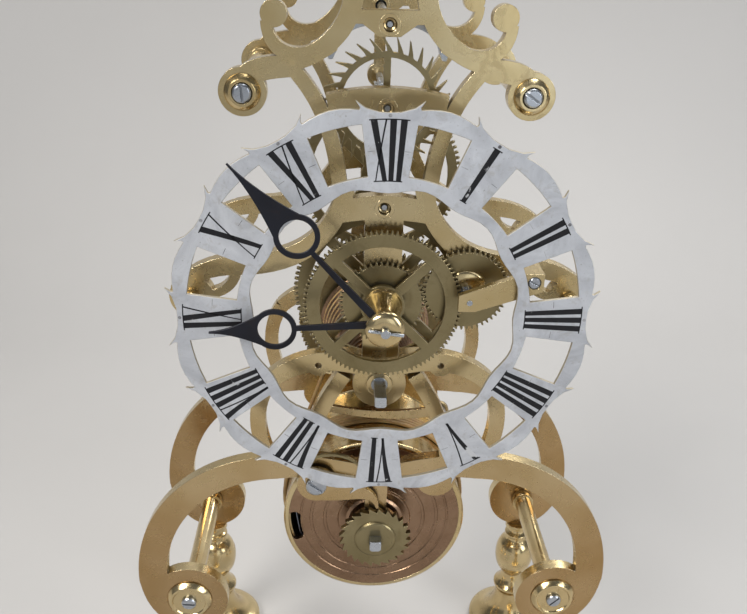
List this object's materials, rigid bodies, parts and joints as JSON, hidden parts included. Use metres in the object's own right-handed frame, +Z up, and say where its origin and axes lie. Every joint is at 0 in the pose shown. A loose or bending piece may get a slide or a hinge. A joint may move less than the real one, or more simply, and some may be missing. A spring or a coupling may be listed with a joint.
{
  "type": "skeleton clock",
  "caption": "Free-standing skeleton clock: scrolled brass plates on turned feet, pierced silvered chapter ring, fusee and chainless gut line, anchor escapement and short pendulum.",
  "frame": {"origin": "on the table, directly below the centre of the dial in X, and in Y halfway between the tip of the centre arbor in front and the back of the pendulum bob", "axes": "+X to the right of the dial seen from the front, +Y to the rear, +Z up"},
  "size_m": [0.207, 0.125, 0.374],
  "materials": {
    "plate_brass": "hand-polished lacquered brass, pale and slightly greenish, soft scratches",
    "wheel_brass": "fine-grained brass with circular graining, olive where it has dulled",
    "turned_brass": "bright turned brass with lathe rings",
    "red_brass": "warmer brass with turned rings",
    "silvered_brass": "matte silvered brass, faintly blue, brushed",
    "blued_steel": "blued steel, nearly black",
    "bright_steel": "polished steel with fine graining",
    "spring_steel": "blue-grey spring steel",
    "gut_line": "twisted gut line, waxed"
  },
  "bodies": {
    "root": {"front_plate": "plate_brass", "rear_plate": "plate_brass", "pillars": "turned_brass", "pillar_collets": "turned_brass", "pillar_screws": "bright_steel", "turned_feet": "turned_brass", "front_bushes": "turned_brass", "rear_bushes": "turned_brass", "dial_ring": "silvered_brass", "dial_feet": "turned_brass", "dial_pins": "bright_steel", "minute_cock": "plate_brass", "cock_screws": "bright_steel", "line_run": "gut_line", "setup_click_screw": "bright_steel", "setup_click_spring": "wheel_brass", "stop_stud": "bright_steel", "back_cock": "plate_brass", "back_cock_screws": "bright_steel", "suspension_spring": "spring_steel"},
    "centre_arbor": {"centre_arbor": "bright_steel", "centre_wheel": "wheel_brass", "hand_pin": "bright_steel", "hand_collet": "turned_brass"},
    "cannon": {"cannon_wheel": "wheel_brass", "cannon_pipe": "turned_brass", "minute_hand": "blued_steel"},
    "minute_wheel": {"minute_wheel": "wheel_brass", "minute_arbor": "bright_steel", "minute_hub": "turned_brass"},
    "hour_wheel": {"hour_wheel": "wheel_brass", "hour_pipe": "turned_brass", "hour_hand": "blued_steel"},
    "third": {"third_arbor": "bright_steel", "third_wheel": "wheel_brass"},
    "escape": {"escape_arbor": "bright_steel", "escape_wheel": "wheel_brass"},
    "great_wheel": {"great_wheel": "wheel_brass"},
    "fusee": {"fusee_cone": "red_brass", "fusee_arbor": "bright_steel", "fusee_ratchet": "bright_steel", "fusee_line": "gut_line"},
    "fusee_click": {"fusee_click": "bright_steel"},
    "barrel": {"barrel_drum": "turned_brass", "barrel_cap": "red_brass", "barrel_line": "gut_line", "mainspring": "spring_steel"},
    "barrel_arbor": {"barrel_arbor": "bright_steel", "setup_ratchet": "wheel_brass"},
    "setup_click": {"setup_click": "plate_brass"},
    "stop_lever": {"stop_lever": "plate_brass"},
    "pallets": {"pallets": "bright_steel", "pallet_arbor": "bright_steel", "crutch": "bright_steel"},
    "pendulum": {"pendulum_rod": "bright_steel", "pendulum_bob": "turned_brass", "rating_nut": "turned_brass"}
  },
  "joints": [
    {"name": "centre_arbor_turn", "type": "hinge", "parent": "root", "child": "centre_arbor", "pos_m": [0, 0, 0.235], "axis": [0, 1, 0], "continuous": true},
    {"name": "cannon_turn", "type": "hinge", "parent": "root", "child": "cannon", "pos_m": [0, 0, 0.235], "axis": [0, 1, 0], "continuous": true},
    {"name": "minute_wheel_turn", "type": "hinge", "parent": "root", "child": "minute_wheel", "pos_m": [0.0309, 0, 0.2402], "axis": [0, 1, 0], "continuous": true},
    {"name": "hour_wheel_turn", "type": "hinge", "parent": "root", "child": "hour_wheel", "pos_m": [0, 0, 0.235], "axis": [0, 1, 0], "continuous": true},
    {"name": "third_turn", "type": "hinge", "parent": "root", "child": "third", "pos_m": [0, 0, 0.2706], "axis": [0, 1, 0], "continuous": true},
    {"name": "escape_turn", "type": "hinge", "parent": "root", "child": "escape", "pos_m": [0, 0, 0.306], "axis": [0, 1, 0], "continuous": true},
    {"name": "great_wheel_turn", "type": "hinge", "parent": "root", "child": "great_wheel", "pos_m": [0, 0, 0.1984], "axis": [0, 1, 0], "continuous": true},
    {"name": "barrel_turn", "type": "hinge", "parent": "root", "child": "barrel", "pos_m": [0, 0, 0.124], "axis": [0, 1, 0], "continuous": true},
    {"name": "fusee_winding", "type": "hinge", "parent": "great_wheel", "child": "fusee", "pos_m": [0, 0, 0.1984], "axis": [0, 1, 0], "range_deg": [0, 4950]},
    {"name": "fusee_click_drop", "type": "hinge", "parent": "great_wheel", "child": "fusee_click", "pos_m": [-0.02255, 0, 0.19019], "axis": [0, 1, 0], "range_deg": [-5, 0]},
    {"name": "barrel_setup", "type": "hinge", "parent": "root", "child": "barrel_arbor", "pos_m": [0, 0, 0.124], "axis": [0, 1, 0], "range_deg": [0, 360]},
    {"name": "setup_click_drop", "type": "hinge", "parent": "root", "child": "setup_click", "pos_m": [-0.025, 0, 0.152], "axis": [0, 1, 0], "range_deg": [0, 3.5]},
    {"name": "stop_lever_lift", "type": "hinge", "parent": "root", "child": "stop_lever", "pos_m": [0.0265, 0, 0.177], "axis": [0, 1, 0], "range_deg": [0, 5]},
    {"name": "pallet_swing", "type": "hinge", "parent": "root", "child": "pallets", "pos_m": [0, 0, 0.3334], "axis": [0, 1, 0], "range_deg": [-2.5, 2.5]},
    {"name": "pendulum_swing", "type": "hinge", "parent": "root", "child": "pendulum", "pos_m": [0, 0, 0.3334], "axis": [0, 1, 0], "range_deg": [-2.5, 2.5]}
  ],
  "couplings": [
    {"joint": "cannon_turn", "follows": "centre_arbor_turn", "ratio": 1},
    {"joint": "minute_wheel_turn", "follows": "centre_arbor_turn", "ratio": -1},
    {"joint": "hour_wheel_turn", "follows": "centre_arbor_turn", "ratio": 0.083333},
    {"joint": "third_turn", "follows": "centre_arbor_turn", "ratio": -12},
    {"joint": "escape_turn", "follows": "centre_arbor_turn", "ratio": 135},
    {"joint": "great_wheel_turn", "follows": "centre_arbor_turn", "ratio": -0.083333},
    {"joint": "barrel_turn", "follows": "centre_arbor_turn", "ratio": -0.034034},
    {"joint": "pendulum_swing", "follows": "pallet_swing", "ratio": 1}
  ]
}
